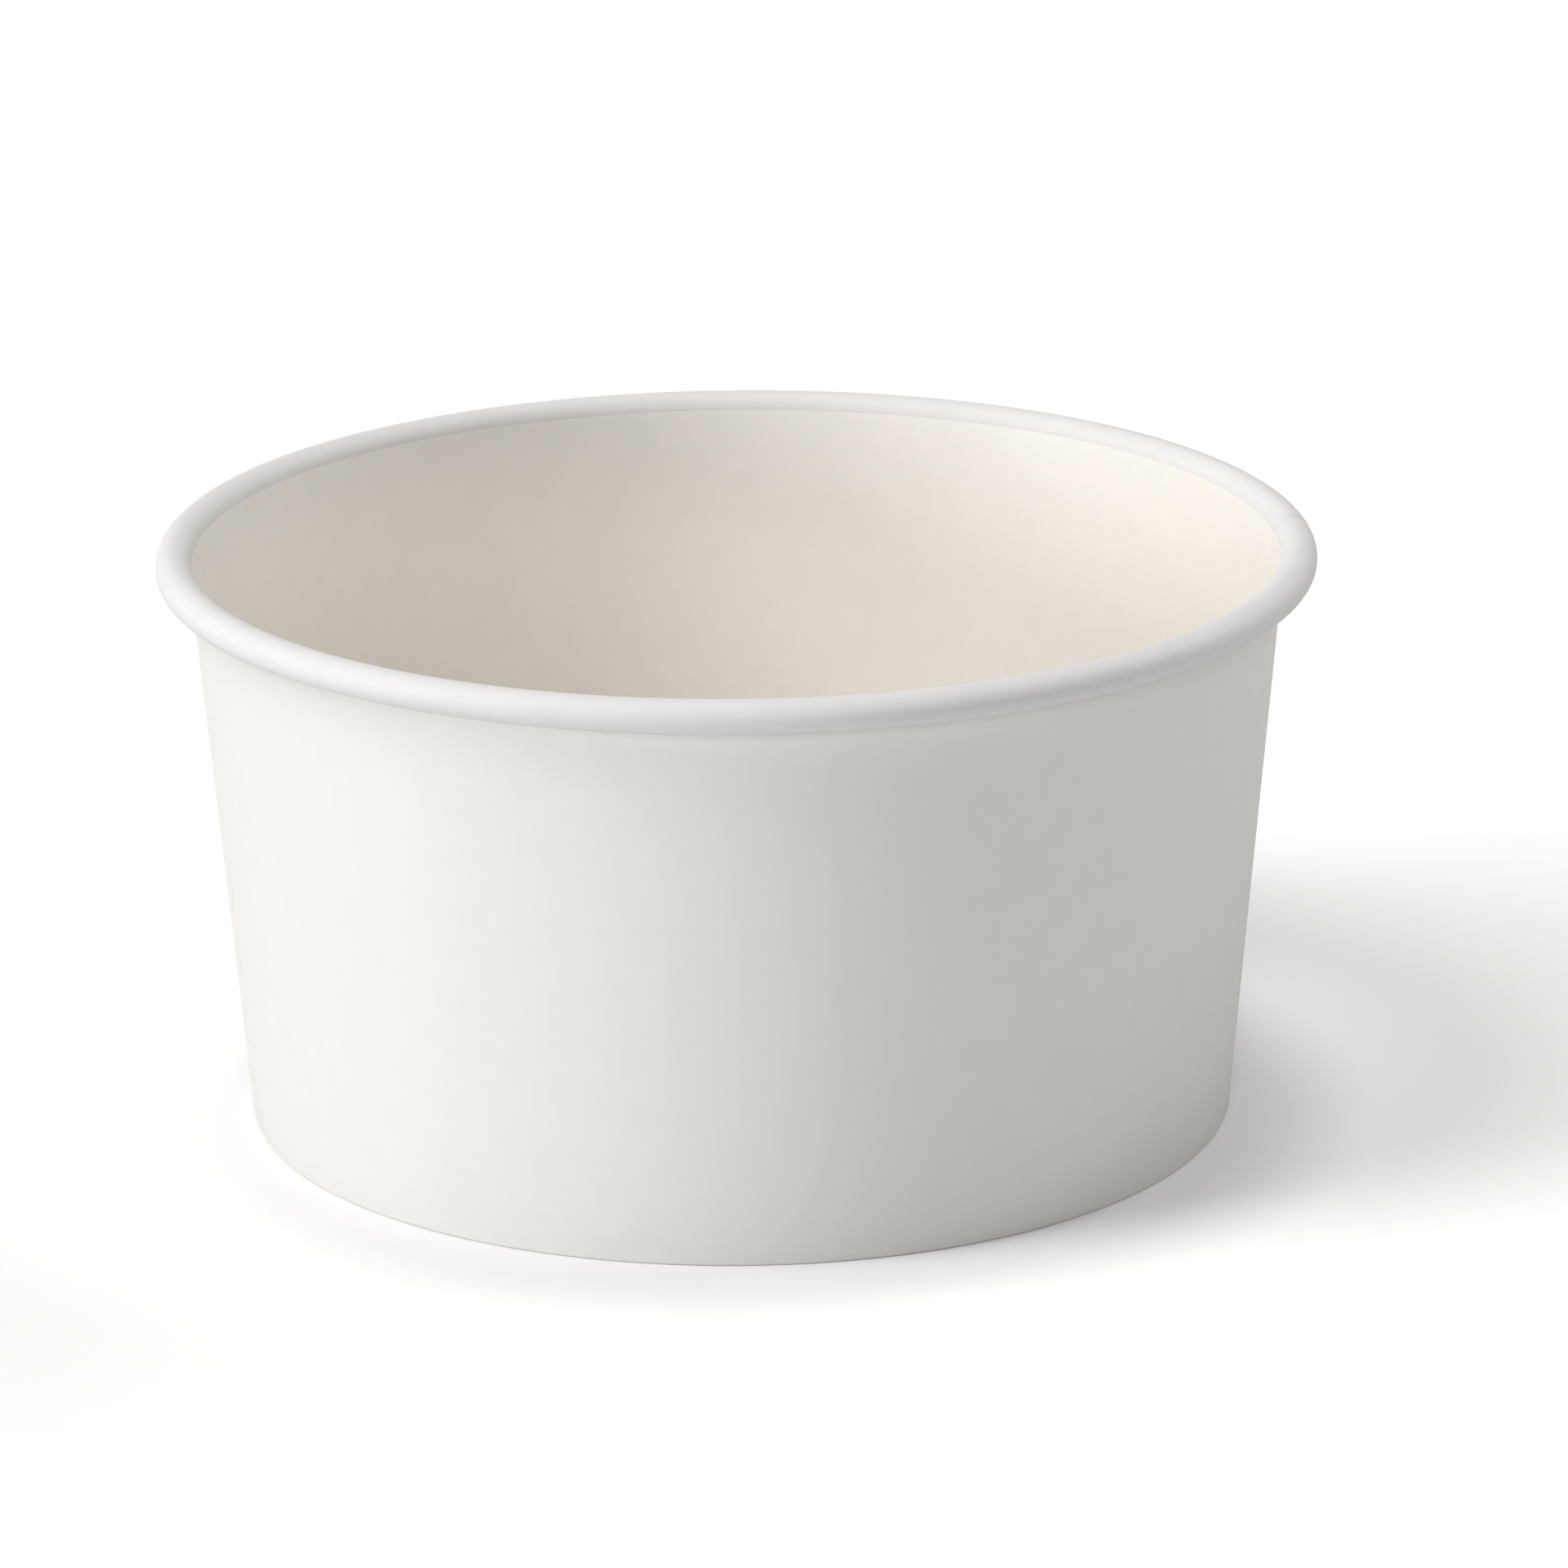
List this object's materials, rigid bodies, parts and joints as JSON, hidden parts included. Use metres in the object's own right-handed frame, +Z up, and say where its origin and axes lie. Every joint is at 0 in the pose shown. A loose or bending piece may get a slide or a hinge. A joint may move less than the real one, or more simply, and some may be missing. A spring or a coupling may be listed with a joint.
{
  "type": "paper bowl",
  "caption": "Round disposable bowl of coated paper board: tapered wrapped wall with a lapped side seam, outward rolled rim and a recessed bottom disc held by a folded-in foot.",
  "frame": {"origin": "centre of the foot ring, on the ground plane", "axes": "+Z up along the bowl's axis, -Y towards the picture's viewer, +X to the viewer's right, with the side seam 9 degrees round from +X towards +Y"},
  "size_m": [0.15, 0.15, 0.0764],
  "materials": {
    "sidewall_board": "smooth coated board, satin",
    "disc_board": "smooth coated board, satin"
  },
  "bodies": {
    "root": {"sidewall": "sidewall_board", "bottom_disc": "disc_board"}
  },
  "joints": []
}
